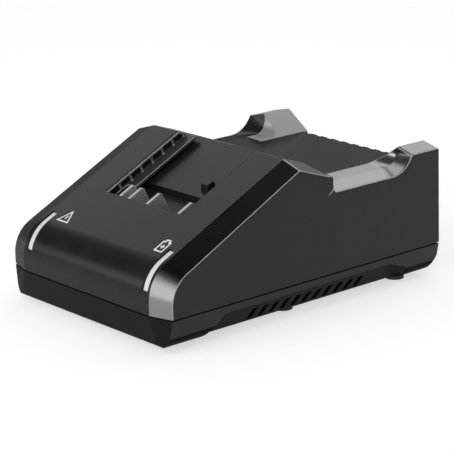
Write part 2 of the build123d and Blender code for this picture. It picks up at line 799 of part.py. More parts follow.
def vent_runout(side):
    """The facet at the rear of the bevel, where it grows shallower beside the rear foot."""
    origin = Vector(side * VENT_TOP_X, VENT_BACK_Y, VENT_TOP_Z)
    foot = Vector(side * VENT_BOTTOM_X, VENT_BACK_Y + VENT_BACK_SLANT, -BASE_DEPTH)
    end = Vector(side * (VENT_TOP_X + VENT_RUNOUT_RISE), VENT_BACK_Y + VENT_RUNOUT, VENT_TOP_Z)
    outward = (foot - origin).cross(end - origin) * side
    facet = Plane(origin=origin, x_dir=end - origin, z_dir=outward)
    beside = facet * (Pos(0, 0, CUT / 2) * Box(4 * CUT, 4 * CUT, CUT))
    return beside & vent_span(VENT_BACK_Y, VENT_BACK_SLANT, VENT_BACK_Y + VENT_RUNOUT)


def tongue():
    """The lip that stands up from the lower half and lines up the upper half's walls."""
    outer = TOP_WALL + TONGUE_CLEARANCE
    ring = xy_prism(base_plan(outer), -TONGUE_HEIGHT, TONGUE_HEIGHT)
    ring = ring - xy_prism(base_plan(outer + TONGUE_THICKNESS), -CUT, CUT)
    root = xy_prism(base_plan(BASE_WALL / 2), -2 * TONGUE_HEIGHT, -TONGUE_HEIGHT / 2)
    root = root - xy_prism(base_plan(outer + TONGUE_THICKNESS), -CUT, CUT)
    inside = Plane(origin=(GLAND_X, LENGTH - TOP_WALL, 0), z_dir=(0, -1, 0))
    gap = inside * (Pos(0, 0, CUT / 4) * Cylinder(GLAND_FLANGE_RADIUS + GLAND_CLEARANCE, CUT / 2))
    return (ring + root) - gap


def air_slots(side):
    """Slots down the vent bevel, evenly spaced along it."""
    slope = math.degrees(math.atan2(VENT_TOP_Z + BASE_DEPTH, VENT_TOP_X - VENT_BOTTOM_X))
    middle_z = (SLOT_TOP_Z + SLOT_BOTTOM_Z) / 2
    middle_x = VENT_BOTTOM_X + (middle_z + BASE_DEPTH) / tan(slope)
    length = (SLOT_TOP_Z - SLOT_BOTTOM_Z) / sin(slope)
    cuts = []
    for i in range(SLOT_COUNT):
        place = Pos(side * middle_x, SLOT_FIRST_Y + i * SLOT_PITCH, middle_z)
        turn = Rot(0, -side * slope, 0)
        cuts.append(place * turn * Box(length, SLOT_WIDTH, 4 * BASE_WALL))
    return cuts


def keyhole(side):
    x = side * KEYHOLE_SPACING / 2
    low = -BASE_DEPTH - 1
    high = -BASE_DEPTH + BASE_WALL + 1
    neck = box(
        x - KEYHOLE_NECK_RADIUS,
        x + KEYHOLE_NECK_RADIUS,
        KEYHOLE_Y,
        KEYHOLE_Y + KEYHOLE_NECK_LENGTH,
        low,
        high,
    )
    end = rod(x, KEYHOLE_Y + KEYHOLE_NECK_LENGTH, low, high, KEYHOLE_NECK_RADIUS)
    return rod(x, KEYHOLE_Y, low, high, KEYHOLE_RADIUS) + neck + end


def bottom_shell():
    shell = base_block(0, 0)
    cavity = base_block(BASE_WALL, 1)
    for side in (-1, 1):
        shell = shell - vent_bevel(side, 0, VENT_BACK_Y) - vent_runout(side)
        cavity = cavity - vent_bevel(side, BASE_WALL, VENT_BACK_Y + VENT_RUNOUT)
    for x, y in both(SCREW_PLACES):
        cavity = cavity - rod(x, y, -BASE_DEPTH, 0, BOSS_RADIUS)
    board_z = BOARD_TOP_Z - BOARD_THICKNESS
    for x, y in both(POST_PLACES):
        cavity = cavity - hexagon(x, y, -BASE_DEPTH, board_z, POST_RADIUS)
    shell = shell - cavity + tongue()
    for side in (-1, 1):
        for slot in air_slots(side):
            shell = shell - slot
        shell = shell - keyhole(side)
    for x, y in both(SCREW_PLACES):
        head_top = -BASE_DEPTH + SCREW_SINK
        shell = shell - rod(x, y, -BASE_DEPTH - 1, head_top, SCREW_HEAD_RADIUS + HEAD_CLEARANCE)
        shell = shell - rod(x, y, head_top - 1, 1, SCREW_RADIUS + SCREW_CLEARANCE)
    for x, y in both(POST_PLACES):
        shell = shell - rod(x, y, board_z - BOARD_SCREW_LENGTH, board_z + 1, BOARD_SCREW_RADIUS)
    seam = box(-WIDTH, WIDTH, -CUT, LENGTH + CUT, -SEAM_HEIGHT, 1)
    shell = shell - (seam - xy_prism(base_plan(SEAM_DEPTH), -1, 2))
    for cut in gland_cutters():
        shell = shell - cut
    return shell


def foot(x, y):
    """A flat rubber pad, bonded to the floor of the lower half."""
    return rod(x, y, -BASE_DEPTH - FOOT_HEIGHT, -BASE_DEPTH, FOOT_RADIUS)


def housing_screw(x, y):
    """A pan-head screw, driven from below through the lower half into the upper half's boss."""
    seat = -BASE_DEPTH + SCREW_SINK
    head = rod(x, y, seat - SCREW_HEAD_HEIGHT, seat, SCREW_HEAD_RADIUS)
    shank = rod(x, y, seat, seat + SCREW_LENGTH - SCREW_HEAD_HEIGHT, SCREW_RADIUS)
    return head + shank


# ---- Guide rails and contacts ----


def guide_rail(side):
    """A slotted web with an inward flange that the battery's groove runs on."""
    outer = CHANNEL_HALF_WIDTH - RAIL_GAP
    inner = outer - RAIL_WEB
    front = -CHANNEL_FRONT + RAIL_END_GAP
    web = on_ramp(side * inner, side * outer, front, CUT, RAIL_TOP, CHANNEL_DEPTH)
    flange = on_ramp(
        side * RAIL_FLANGE_X,
        side * inner,
        -RAIL_FLANGE_FRONT,
        CUT,
        RAIL_FLANGE_DEPTH,
        RAIL_FLANGE_DEPTH + RAIL_FLANGE_THICKNESS,
    )
    windows = None
    for i in range(WINDOW_COUNT):
        middle = -WINDOW_FIRST + i * WINDOW_PITCH
        up0 = middle - WINDOW_WIDTH / 2
        up1 = middle + WINDOW_WIDTH / 2
        x0 = side * (inner - 1)
        x1 = side * (outer + 1)
        window = on_ramp(x0, x1, up0, up1, WINDOW_TOP, RAIL_FLANGE_DEPTH)
        windows = window if windows is None else windows + window
    windows = windows & upper_block(WINDOW_FRAME, 0, 0)
    return (web - windows + flange) & upper_block(RAIL_END_GAP, 0, 0)


def contact_carrier():
    """The insulator that closes the well from below and holds the blades."""
    gap = CARRIER_CLEARANCE
    half = WELL_HALF_WIDTH - gap
    plug = on_ramp(
        -half, half, -CHANNEL_FRONT + gap, -WELL_BACK - gap, CARRIER_TOP_DEPTH, WELL_DEPTH
    )
    half = WELL_HALF_WIDTH + CARRIER_LIP
    plate = on_ramp(
        -half,
        half,
        -CHANNEL_FRONT - CARRIER_LIP,
        -WELL_BACK + CARRIER_LIP,
        WELL_DEPTH,
        WELL_DEPTH + CARRIER_FLANGE,
    )
    carrier = plug + plate
    half = BLADE_THICKNESS / 2 + SLOT_CLEARANCE
    tail0, tail1 = tail_span()
    for x in BLADE_X:
        carrier = carrier - on_ramp(
            x - half,
            x + half,
            tail0 - SLOT_CLEARANCE,
            tail1 + SLOT_CLEARANCE,
            CARRIER_TOP_DEPTH - 1,
            WELL_DEPTH + CARRIER_FLANGE + 1,
        )
    return carrier


def blade_span():
    front = -CHANNEL_FRONT + 2 * CARRIER_CLEARANCE
    return front, front + BLADE_LENGTH


def tail_span():
    front, back = blade_span()
    middle = (front + back) / 2
    return middle - BLADE_TAIL_LENGTH / 2, middle + BLADE_TAIL_LENGTH / 2


def contact_blade(x):
    """An upright blade whose shoulders sit on the carrier, with a tail through it."""
    half = BLADE_THICKNESS / 2
    up0, up1 = blade_span()
    head = on_ramp(x - half, x + half, up0, up1, BLADE_TOP, CARRIER_TOP_DEPTH)
    lead = head.edges().filter_by(Axis.X).sort_by(Axis.Y)[-2:].sort_by(Axis.Z)[-1]
    head = chamfer(lead, BLADE_CORNER)
    tail0, tail1 = tail_span()
    end = WELL_DEPTH + CARRIER_FLANGE + BLADE_TAIL_DROP
    tail = on_ramp(x - half, x + half, tail0, tail1, CARRIER_TOP_DEPTH, end)
    return head + tail


def cord_gland():
    """A flanged bush, gripped between the two halves where the cord passes the rear wall."""
    start = Plane(origin=(GLAND_X, LENGTH, 0), z_dir=(0, -1, 0))
    depth = TOP_WALL + GLAND_FLANGE

    def ring(radius, d0, d1):
        return start * (Pos(0, 0, (d0 + d1) / 2) * Cylinder(radius, d1 - d0))

    bush = ring(GLAND_FLANGE_RADIUS, 0, GLAND_FLANGE)
    bush = bush + ring(GLAND_BODY_RADIUS, 0, depth)
    bush = bush + ring(GLAND_FLANGE_RADIUS, TOP_WALL, depth)
    return bush - ring(GLAND_BORE, -1, depth + 1)


# ---- Circuit board ----


def main_board():
    low = BOARD_TOP_Z - BOARD_THICKNESS
    half = BOARD_HALF_WIDTH
    board = box(-half, half, BOARD_FRONT_Y, BOARD_BACK_Y, low, BOARD_TOP_Z)
    half = BOSS_RADIUS + BOARD_HOLE_GAP
    for x, y in both(SCREW_PLACES):
        board = board - box(x - half, x + half, y - half, y + half, low - 1, BOARD_TOP_Z + 1)
    for x, y in both(POST_PLACES):
        board = board - rod(x, y, low - 1, BOARD_TOP_Z + 1, BOARD_SCREW_RADIUS + SLOT_CLEARANCE)
    return board


def board_screw(x, y):
    """A hexagon-head screw through the board into its post."""
    low = BOARD_TOP_Z - BOARD_THICKNESS - BOARD_SCREW_LENGTH
    head = hexagon(x, y, BOARD_TOP_Z, BOARD_TOP_Z + BOARD_SCREW_HEAD_HEIGHT, BOARD_SCREW_HEAD)
    return head + rod(x, y, low, BOARD_TOP_Z, BOARD_SCREW_RADIUS)


def status_led(side):
    half = LED_SIZE / 2
    x = side * LIGHT_X
    return box(
        x - half,
        x + half,
        LIGHT_STEM_Y - half,
        LIGHT_STEM_Y + half,
        BOARD_TOP_Z,
        BOARD_TOP_Z + LED_HEIGHT,
    )


def standing_box(place, size):
    """A box of the given size, standing on the board with its middle over the given place."""
    x, y = place
    width, depth, height = size
    return box(
        x - width / 2, x + width / 2, y - depth / 2, y + depth / 2, BOARD_TOP_Z, BOARD_TOP_Z + height
    )


def transformer_window():
    """The two windows through the core, one each side of its centre leg."""
    x, y = TRANSFORMER_PLACE
    half = CORE_WIDTH / 2 - CORE_LEG / 2
    low = BOARD_TOP_Z + CORE_YOKE
    high = BOARD_TOP_Z + CORE_HEIGHT - CORE_YOKE
    around = box(x - half, x + half, y - WINDING_DEPTH / 2, y + WINDING_DEPTH / 2, low, high)
    leg = CORE_LEG / 2
    return around - box(x - leg, x + leg, y - CORE_DEPTH / 2, y + CORE_DEPTH / 2, low, high)


def transformer_core():
    return standing_box(TRANSFORMER_PLACE, (CORE_WIDTH, CORE_DEPTH, CORE_HEIGHT)) - transformer_window()


def transformer_winding():
    winding = transformer_window()
    x, y = TRANSFORMER_PLACE
    corners = winding.edges().filter_by(Axis.Z)
    outer = [edge for edge in corners if abs(edge.center().Y - y) > CORE_DEPTH / 2 + 1]
    return fillet(outer, CORE_LEG / 2)


def choke_core():
    x, y = CHOKE_PLACE
    low = BOARD_TOP_Z + CHOKE_WIRE
    return rod(x, y, low, low + CHOKE_HEIGHT, CHOKE_RADIUS) - rod(
        x, y, low - 1, low + CHOKE_HEIGHT + 1, CHOKE_BORE
    )


def choke_winding():
    """Two layers of wire, each wrapped round one side of the ring core."""
    x, y = CHOKE_PLACE
    low = BOARD_TOP_Z
    high = low + CHOKE_HEIGHT + 2 * CHOKE_WIRE
    layer = rod(x, y, low, high, CHOKE_RADIUS + CHOKE_WIRE)
    layer = layer - rod(x, y, low - 1, high + 1, CHOKE_BORE - CHOKE_WIRE) - choke_core()
    reach = CHOKE_RADIUS * 2
    gaps = []
    for side in (-1, 1):
        spread = reach * tan(CHOKE_GAP / 2)
        wedge = [(x, y), (x - spread, y + side * reach), (x + spread, y + side * reach)]
        gaps.append(xy_prism(wedge, low - 1, high + 1))
    return layer - gaps[0] - gaps[1]


def capacitor(place, radius, height):
    """A can with a broken top edge."""
    x, y = place
    can = rod(x, y, BOARD_TOP_Z, BOARD_TOP_Z + height, radius)
    return chamfer(can.edges().sort_by(Axis.Z)[-1], CAPACITOR_EDGE)


def suppression_capacitor():
    body = standing_box(SUPPRESSOR_PLACE, SUPPRESSOR_SIZE)
    return fillet(body.edges().filter_by(Axis.Z), SUPPRESSOR_ROUND)


def fuse():
    """A cartridge fuse lying in its two clips."""
    x, y = FUSE_PLACE
    z = BOARD_TOP_Z + FUSE_LIFT + FUSE_RADIUS
    lying = Plane(origin=(x, y, z), z_dir=(1, 0, 0))
    barrel = lying * Cylinder(FUSE_RADIUS - FUSE_LIFT / 4, FUSE_LENGTH)
    for side in (-1, 1):
        middle = side * (FUSE_LENGTH - FUSE_CAP) / 2
        barrel = barrel + lying * (Pos(0, 0, middle) * Cylinder(FUSE_RADIUS, FUSE_CAP))
        clip = standing_box((x + middle, y), (FUSE_CAP / 2, 2 * FUSE_RADIUS + 1, FUSE_RADIUS + FUSE_LIFT))
        barrel = barrel + clip
    return barrel


def varistor():
    x, y = VARISTOR_PLACE
    z = BOARD_TOP_Z + VARISTOR_FLAT
    disc = Plane(origin=(x, y, z), z_dir=(0, 1, 0)) * Cylinder(VARISTOR_RADIUS, VARISTOR_THICKNESS)
    above = box(x - CUT, x + CUT, y - CUT, y + CUT, BOARD_TOP_Z, CUT)
    return disc & above


def bridge_rectifier():
    body = standing_box(RECTIFIER_PLACE, RECTIFIER_SIZE)
    corner = body.edges().filter_by(Axis.Y).sort_by(Axis.Z)[-2:].sort_by(Axis.X)[-1]
    return chamfer(corner, RECTIFIER_CORNER)


def heat_sink():
    """An extruded plate with upright fins on its outer side."""
    x = HEAT_SINK_X
    y = HEAT_SINK_FRONT_Y
    low = BOARD_TOP_Z
    high = low + HEAT_SINK_HEIGHT
    sink = box(x, x + HEAT_SINK_PLATE, y, y + HEAT_SINK_LENGTH, low, high)
    pitch = (HEAT_SINK_LENGTH - HEAT_SINK_FIN_THICKNESS) / (HEAT_SINK_FIN_COUNT - 1)
    for i in range(HEAT_SINK_FIN_COUNT):
        fin_y = y + i * pitch
        tip = x + HEAT_SINK_PLATE + HEAT_SINK_FIN
        sink = sink + box(x + 1, tip, fin_y, fin_y + HEAT_SINK_FIN_THICKNESS, low, high)
    return sink


def power_transistor():
    """A package on legs' height, with its metal tab flat against the heat sink."""
    depth, width, height = TRANSISTOR_SIZE
    x = HEAT_SINK_X - depth / 2
    body = standing_box((x, TRANSISTOR_Y), TRANSISTOR_SIZE)
    tab_x = HEAT_SINK_X - TRANSISTOR_TAB / 2
    tab = standing_box((tab_x, TRANSISTOR_Y), (TRANSISTOR_TAB, width, TRANSISTOR_TAB_HEIGHT))
    return body + tab


def mains_terminal():
    """A screw terminal block that takes the cord's two cores."""
    x, y = TERMINAL_PLACE
    width, depth, height = TERMINAL_SIZE
    block = standing_box(TERMINAL_PLACE, TERMINAL_SIZE)
    top = BOARD_TOP_Z + height
    for i in range(TERMINAL_WAYS):
        way_x = x + (i - (TERMINAL_WAYS - 1) / 2) * width / TERMINAL_WAYS
        block = block - rod(way_x, y, top - TERMINAL_SCREW_DEPTH, top + 1, TERMINAL_SCREW_RADIUS)
        entry = box(
            way_x - TERMINAL_SCREW_RADIUS,
            way_x + TERMINAL_SCREW_RADIUS,
            y,
            y + depth,
            BOARD_TOP_Z + TERMINAL_SCREW_DEPTH,
            BOARD_TOP_Z + height / 2,
        )
        block = block - entry
    return block


def main():
    os.makedirs("parts", exist_ok=True)
    form = outer_form()
    cutters = trim_cutters()
    emit("top_shell", top_shell(form, cutters))
    for name, cutter in cutters.items():
        emit(name, form & cutter)
    emit("bottom_shell", bottom_shell())
    for side, name in ((-1, "left"), (1, "right")):
        emit(f"light_pipe_{name}", light_pipe(side))
        emit(f"guide_rail_{name}", guide_rail(side))
        emit(f"status_led_{name}", status_led(side))
    emit("contact_carrier", contact_carrier())
    for i, x in enumerate(BLADE_X):
        emit(f"contact_blade_{i + 1}", contact_blade(x))
    emit("cord_gland", cord_gland())
    emit("rubber_feet", Compound([foot(x, y) for x, y in both(FOOT_PLACES)]))
    emit("housing_screws", Compound([housing_screw(x, y) for x, y in both(SCREW_PLACES)]))
    emit("main_board", main_board())
    emit("board_screws", Compound([board_screw(x, y) for x, y in both(POST_PLACES)]))
    emit("transformer_core", transformer_core())
    emit("transformer_winding", transformer_winding())
    emit("choke_core", choke_core())
    emit("choke_winding", choke_winding())
    emit(
        "mains_capacitor",
        capacitor(MAINS_CAPACITOR_PLACE, MAINS_CAPACITOR_RADIUS, MAINS_CAPACITOR_HEIGHT),
    )
    output_cans = [
        capacitor(place, OUTPUT_CAPACITOR_RADIUS, OUTPUT_CAPACITOR_HEIGHT)
        for place in OUTPUT_CAPACITOR_PLACES
    ]
    emit("output_capacitors", Compound(output_cans))
    emit("suppression_capacitor", suppression_capacitor())
    emit("fuse", fuse())
    emit("varistor", varistor())
    emit("bridge_rectifier", bridge_rectifier())
    emit("heat_sink", heat_sink())
    emit("power_transistor", power_transistor())
    emit("controller", standing_box(CONTROLLER_PLACE, CONTROLLER_SIZE))
    emit("mains_terminal", mains_terminal())


main()
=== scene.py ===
"""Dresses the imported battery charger: finishes, printed signs, studio and camera."""

import json
import math

import bpy
from mathutils import Matrix, Vector


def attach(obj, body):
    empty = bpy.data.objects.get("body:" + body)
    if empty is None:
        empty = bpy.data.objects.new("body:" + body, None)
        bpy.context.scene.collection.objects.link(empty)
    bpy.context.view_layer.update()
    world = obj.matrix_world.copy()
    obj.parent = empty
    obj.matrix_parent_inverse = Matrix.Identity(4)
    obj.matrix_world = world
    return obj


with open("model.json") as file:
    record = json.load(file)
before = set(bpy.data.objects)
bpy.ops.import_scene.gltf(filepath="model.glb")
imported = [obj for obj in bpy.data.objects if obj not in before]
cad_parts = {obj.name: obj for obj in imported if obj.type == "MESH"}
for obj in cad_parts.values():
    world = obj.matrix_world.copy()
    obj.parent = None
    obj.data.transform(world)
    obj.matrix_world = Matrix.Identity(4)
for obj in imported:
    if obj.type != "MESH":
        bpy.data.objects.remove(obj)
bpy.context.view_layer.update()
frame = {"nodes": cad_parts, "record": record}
bpy.ops.object.select_all(action="DESELECT")

MM = 0.001

# ---- The ramp, from the record's mount for the battery ----

CHANNEL_MOUNT = next(m for m in frame["record"]["mounts"] if m["name"] == "battery_channel")
RAMP_POINT = Vector(CHANNEL_MOUNT["pos_m"])
RAMP_UP = Vector(CHANNEL_MOUNT["axis"])
RAMP_OUT = Vector((1, 0, 0)).cross(RAMP_UP)

# ---- Shader maths ----


class Value:
    """A socket of a node tree, with arithmetic that adds Math nodes."""

    def __init__(self, tree, socket):
        self.tree = tree
        self.socket = socket

    def math(self, operation, *others):
        return self.tree.node("ShaderNodeMath", {"operation": operation}, self, *others)

    def __add__(self, other):
        return self.math("ADD", other)

    def __sub__(self, other):
        return self.math("SUBTRACT", other)

    def __mul__(self, other):
        return self.math("MULTIPLY", other)

    def __radd__(self, other):
        return self + other

    def __rsub__(self, other):
        return self.tree.node("ShaderNodeMath", {"operation": "SUBTRACT"}, other, self)

    def __rmul__(self, other):
        return self * other

    def step(self, low, high):
        """0 below low, 1 above high, smooth between."""
        settings = {"interpolation_type": "SMOOTHSTEP"}
        return self.tree.node("ShaderNodeMapRange", settings, self, low, high)


class Tree:
    """A material's or a world's node tree."""

    def __init__(self, owner):
        owner.use_nodes = True
        self.owner = owner
        self.nodes = owner.node_tree.nodes
        self.links = owner.node_tree.links
        self.nodes.clear()

    def node(self, kind, settings=None, *inputs, out=0, **named):
        """Adds a node: its settings first, then the values or links of its sockets."""
        made = self.nodes.new(kind)
        for key, value in (settings or {}).items():
            setattr(made, key, value)
        sockets = list(enumerate(inputs)) + list(named.items())
        for key, value in sockets:
            socket = made.inputs[key.replace("_", " ") if isinstance(key, str) else key]
            if isinstance(value, Value):
                self.links.new(value.socket, socket)
            else:
                socket.default_value = value
        return Value(self, made.outputs[out])

    def mix(self, factor, first, second):
        """Mixes two colours."""
        made = self.nodes.new("ShaderNodeMix")
        made.data_type = "RGBA"
        for key, value in ((0, factor), (6, first), (7, second)):
            if isinstance(value, Value):
                self.links.new(value.socket, made.inputs[key])
            else:
                made.inputs[key].default_value = value
        return Value(self, made.outputs[2])

    def mix_shaders(self, factor, first, second):
        return self.node("ShaderNodeMixShader", None, factor, first, second)

    def principled(self, **sockets):
        return self.node("ShaderNodeBsdfPrincipled", None, **sockets)

    def finish(self, surface, kind="ShaderNodeOutputMaterial"):
        made = self.nodes.new(kind)
        self.links.new(surface.socket, made.inputs["Surface"])
        return self.owner


def new_finish(name):
    return Tree(bpy.data.materials.new(name))


def grey(level):
    return (level, level, level, 1)


def scaled(colour, factor):
    """A colour made lighter or darker, up to white."""
    return tuple(min(1.0, c * factor) for c in colour[:3]) + (1,)


# ---- Masks ----

# A face's normal, or its turn at a rounded edge, where each mask starts and where it is full.
SIDE_FACE = (0.93, 0.97)
UPRIGHT_FRONT_FACE = (0.93, 0.99)
LEANING_FRONT_FACE = (0.1, 0.2)
DOWN_FACE = (0.2, 0.3)
CREASE_TURN = (0.08, 0.3)
EDGE_TURN = (0.02, 0.12)

HORN_FRONT_LIMIT = 50.3 * MM
HORN_FRONT_FADE = 0.1 * MM


def rounded_edges(tree, radius):
    """A normal that rounds the edges of hard-cornered pieces a little."""
    return tree.node("ShaderNodeBevel", {"samples": 6}, Radius=radius)


def face_normal(tree):
    return tree.node("ShaderNodeNewGeometry", out=1)


def place_on_piece(tree):
    return tree.node("ShaderNodeTexCoord", out=3)


def part(vector, axis):
    """A vector's part along x, y or z, for an axis of 0, 1 or 2."""
    return vector.tree.node("ShaderNodeSeparateXYZ", None, vector, out=axis)


def sharp_edges(tree, radius):
    """1 along sharp edges and 0 on the faces between them."""
    pair = (rounded_edges(tree, radius), face_normal(tree))
    along = tree.node("ShaderNodeVectorMath", {"operation": "DOT_PRODUCT"}, *pair, out=1)
    return (1 - along).step(*EDGE_TURN)


def side_faces(tree):
    """1 on the faces that look to the left or right."""
    return part(face_normal(tree), 0).math("ABSOLUTE").step(*SIDE_FACE)


def front_faces(tree, limits):
    """1 on the faces that look to the front."""
    return (0 - part(face_normal(tree), 1)).step(*limits)


def down_faces(tree):
    """1 on the faces that lean over towards the table."""
    return (0 - part(face_normal(tree), 2)).step(*DOWN_FACE)


def outer_crease(tree, radius):
    """1 along the upper and front edges of a rim, where its rounded normal turns up or forwards."""
    rounded = rounded_edges(tree, radius)
    return (part(rounded, 2) - part(rounded, 1)).step(*CREASE_TURN)


def horn_front(tree):
    """1 on the outer part of the left horn's front, where shade is painted."""
    outwards = 0 - part(place_on_piece(tree), 0)
    outer = outwards.step(HORN_FRONT_LIMIT - HORN_FRONT_FADE, HORN_FRONT_LIMIT + HORN_FRONT_FADE)
    return outer * front_faces(tree, LEANING_FRONT_FACE)


# ---- Finishes ----

# Scales of the noise patterns, per metre.
SPARK_TEXTURE = 2600.0
PLASTIC_CLOUDS = 90.0
LACQUER_FLAKES = 5200.0
LACQUER_CLOUDS = 60.0
GUIDE_CLOUDS = 500.0
RAIL_CLOUDS = 300.0
ROLLING_MARKS = (200.0, 200.0, 6000.0)

# Where a noise pattern starts to change a colour, and where it has changed it.
SOFT_NOISE = (0.3, 0.7)
PLASTIC_NOISE = (0.35, 0.65)
FLAKE_NOISE = (0.4, 0.6)

SPARK_DEPTH = 0.02 * MM
SPARK_STRENGTH = 0.5
FLAKE_DEPTH = 0.01 * MM
FLAKE_STRENGTH = 0.25
FINE_EDGE = 0.2 * MM
CREASE_WIDTH = 0.95 * MM

# The housing's gloss, and the shares by which it turns matt.
MATT_GLOSS = 0.02
GRAZING_VIEW = (0.5, 0.72)
MATT_ENDS = 0.75
MATT_FRONT = 0.35

BARE_RIM = grey(0.012)
BARE_GLOSS = 0.3
# Near-white colour of the painted highlight along the trims' outer crease.
PAINTED_CREASE_HIGHLIGHT = grey(0.9)


def grain(tree, scale, detail=2.0):
    place = place_on_piece(tree)
    return tree.node("ShaderNodeTexNoise", None, Vector=place, Scale=scale, Detail=detail)


def about(pattern, middle, spread):
    """A pattern of 0 to 1, turned into values about a middle."""
    return pattern * spread + (middle - spread / 2)


def bumped(tree, height, strength, depth, edge):
    """A normal with a fine texture over slightly rounded edges."""
    return tree.node(
        "ShaderNodeBump", None, Strength=strength, Distance=depth, Height=height,
        Normal=rounded_edges(tree, edge),
    )


def spark_eroded(tree, colour, roughness, depth, edge):
    """Sockets of moulded plastic with a fine spark-eroded texture and slightly uneven gloss."""
    clouds = grain(tree, PLASTIC_CLOUDS, 3.0)
    return {
        "Base_Color": tree.mix(clouds.step(*PLASTIC_NOISE), colour, scaled(colour, 1.25)),
        "Roughness": about(clouds, roughness, 0.06),
        "Normal": bumped(tree, grain(tree, SPARK_TEXTURE), SPARK_STRENGTH, depth, edge),
    }


def housing_plastic(name, colour, gloss, roughness, dull_ends=False):
    """Textured housing plastic, whose gloss fades to matt where it is seen at a grazing angle.

    The upright front is a little duller. With dull_ends, only the long side walls have the
    full gloss instead: the ends and corners are duller, and the faces that look down are matt.
    """
    tree = new_finish(name)
    look = spark_eroded(tree, colour, roughness, SPARK_DEPTH, FINE_EDGE)
    satin = tree.principled(Specular_IOR_Level=gloss, **look)
    matt = tree.principled(Specular_IOR_Level=MATT_GLOSS, **look)
    share = tree.node("ShaderNodeLayerWeight", None, Blend=0.5, out=1).step(*GRAZING_VIEW)
    if dull_ends:
        share = share.math("MAXIMUM", (1 - side_faces(tree)) * MATT_ENDS)
        share = share.math("MAXIMUM", down_faces(tree))
    else:
        share = share.math("MAXIMUM", front_faces(tree, UPRIGHT_FRONT_FACE) * MATT_FRONT)
    return tree.finish(tree.mix_shaders(share, satin, matt))


def moulded_plastic(name, colour, roughness, texture=SPARK_DEPTH, edge=0.35 * MM):
    """Injection-moulded plastic."""
    tree = new_finish(name)
    return tree.finish(tree.principled(**spark_eroded(tree, colour, roughness, texture, edge)))


def metallic_lacquer(name, colour, roughness, edge=0.3 * MM, metallic=1.0, painted_shade_front=False):
    """Grey metallic lacquer with fine flakes. The side faces are bare, with a painted highlight
    along their outer crease.

    With painted_shade_front, the outer part of the horn's front is dark plastic as painted shade,
    where the right horn has lacquer.
    """
    tree = new_finish(name)
    flakes = grain(tree, LACQUER_FLAKES)
    lacquer = tree.principled(
        Base_Color=tree.mix(flakes.step(*FLAKE_NOISE), colour, scaled(colour, 1.15)),
        Metallic=metallic,
        Roughness=about(grain(tree, LACQUER_CLOUDS), roughness, 0.04),
        Normal=bumped(tree, flakes, FLAKE_STRENGTH, FLAKE_DEPTH, edge),
    )
    bare = tree.principled(
        # The pale outer crease is a painted highlight on the dark bare rim.
        Base_Color=tree.mix(outer_crease(tree, CREASE_WIDTH), BARE_RIM, PAINTED_CREASE_HIGHLIGHT),
        Roughness=0.45,
        Normal=rounded_edges(tree, FINE_EDGE),
        Specular_IOR_Level=BARE_GLOSS,
    )
    surface = tree.mix_shaders(side_faces(tree), lacquer, bare)
    if painted_shade_front:
        # Painted shade: a dark plastic over the outer part of the left horn's front.
        plastic = tree.principled(
            Base_Color=grey(0.03),
            Roughness=0.4,
            Normal=rounded_edges(tree, edge),
            Specular_IOR_Level=BARE_GLOSS,
        )
        surface = tree.mix_shaders(horn_front(tree), surface, plastic)
    return tree.finish(surface)


def milky_guide(name):
    """Milky light guide, faintly clouded."""
    tree = new_finish(name)
    clouds = grain(tree, GUIDE_CLOUDS)
    shader = tree.principled(
        Base_Color=tree.mix(clouds.step(*SOFT_NOISE), grey(0.7), grey(0.82)),
        Roughness=about(clouds, 0.3, 0.1),
        Normal=rounded_edges(tree, 0.4 * MM),
    )
    return tree.finish(shader)


def rail_plastic(name, colour, roughness):
    """Glass-filled guide plastic, painted lighter along its edges as a highlight."""
    tree = new_finish(name)
    clouds = grain(tree, RAIL_CLOUDS)
    base = tree.mix(clouds.step(*PLASTIC_NOISE), colour, scaled(colour, 1.3))
    shader = tree.principled(
        # Painted highlight: the sharp edges are mixed towards near-white.
        Base_Color=tree.mix(sharp_edges(tree, 0.5 * MM), base, grey(0.9)),
        Roughness=about(clouds, roughness, 0.1),
        Normal=rounded_edges(tree, 0.3 * MM),
    )
    return tree.finish(shader)


def plated_metal(name, colour, roughness, painted_highlight_edge=0.0, metallic=1.0):
    """Plated metal with fine rolling marks, and brighter edges as a painted highlight."""
    tree = new_finish(name)
    place = place_on_piece(tree)
    stretched = tree.node("ShaderNodeMapping", None, Vector=place, Scale=ROLLING_MARKS)
    marks = tree.node("ShaderNodeTexNoise", None, Vector=stretched, Scale=1.0, Detail=2.0)
    base = tree.mix(marks.step(*SOFT_NOISE), scaled(colour, 0.8), colour)
    if painted_highlight_edge:
        # Painted highlight: the edges are mixed towards near-white.
        base = tree.mix(sharp_edges(tree, painted_highlight_edge), base, grey(0.95))
    shader = tree.principled(
        Base_Color=base,
        Metallic=metallic,
        Roughness=marks * 0.15 + (roughness - 0.07),
        Normal=rounded_edges(tree, FINE_EDGE),
    )
    return tree.finish(shader)


